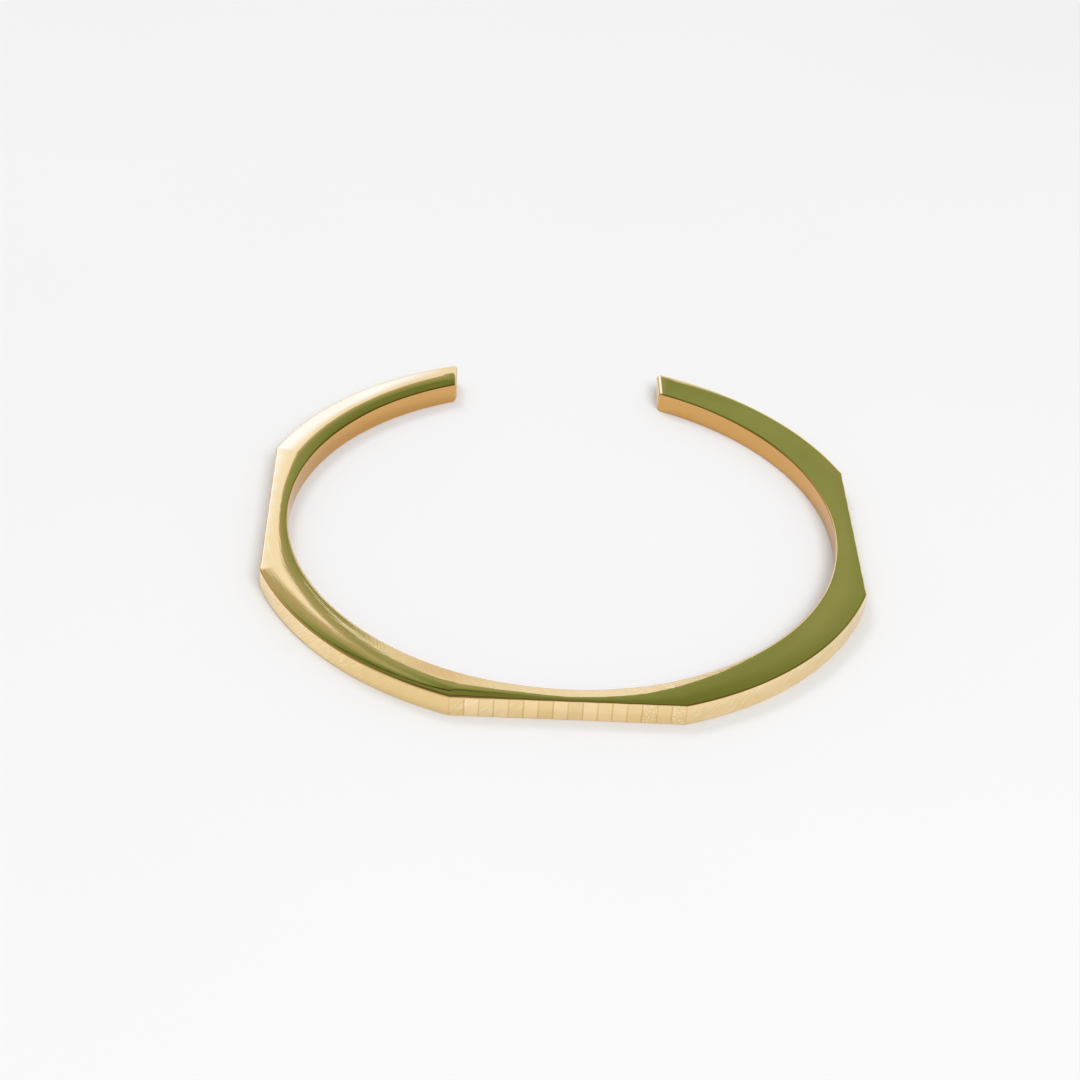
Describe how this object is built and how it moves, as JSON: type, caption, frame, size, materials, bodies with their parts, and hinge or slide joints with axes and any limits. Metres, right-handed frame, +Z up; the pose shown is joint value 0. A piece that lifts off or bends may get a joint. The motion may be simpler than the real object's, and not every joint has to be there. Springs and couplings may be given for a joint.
{
  "type": "cuff bracelet",
  "caption": "Slim polished gold-tone metal cuff, round inside, with flats cut into its outside, fine upright strips on the flats, and an open gap at the back.",
  "frame": {"origin": "centre of the band's box, on the plane that the cuff rests on", "axes": "+Z up, along the wrist; -Y towards the front flat, opposite the gap; +X towards the right-hand flat as seen from the front"},
  "size_m": [0.0644, 0.0642, 0.0025],
  "materials": {
    "gold_plated_brass": "polished"
  },
  "bodies": {
    "root": {"cuff_band": "gold_plated_brass"}
  },
  "joints": []
}
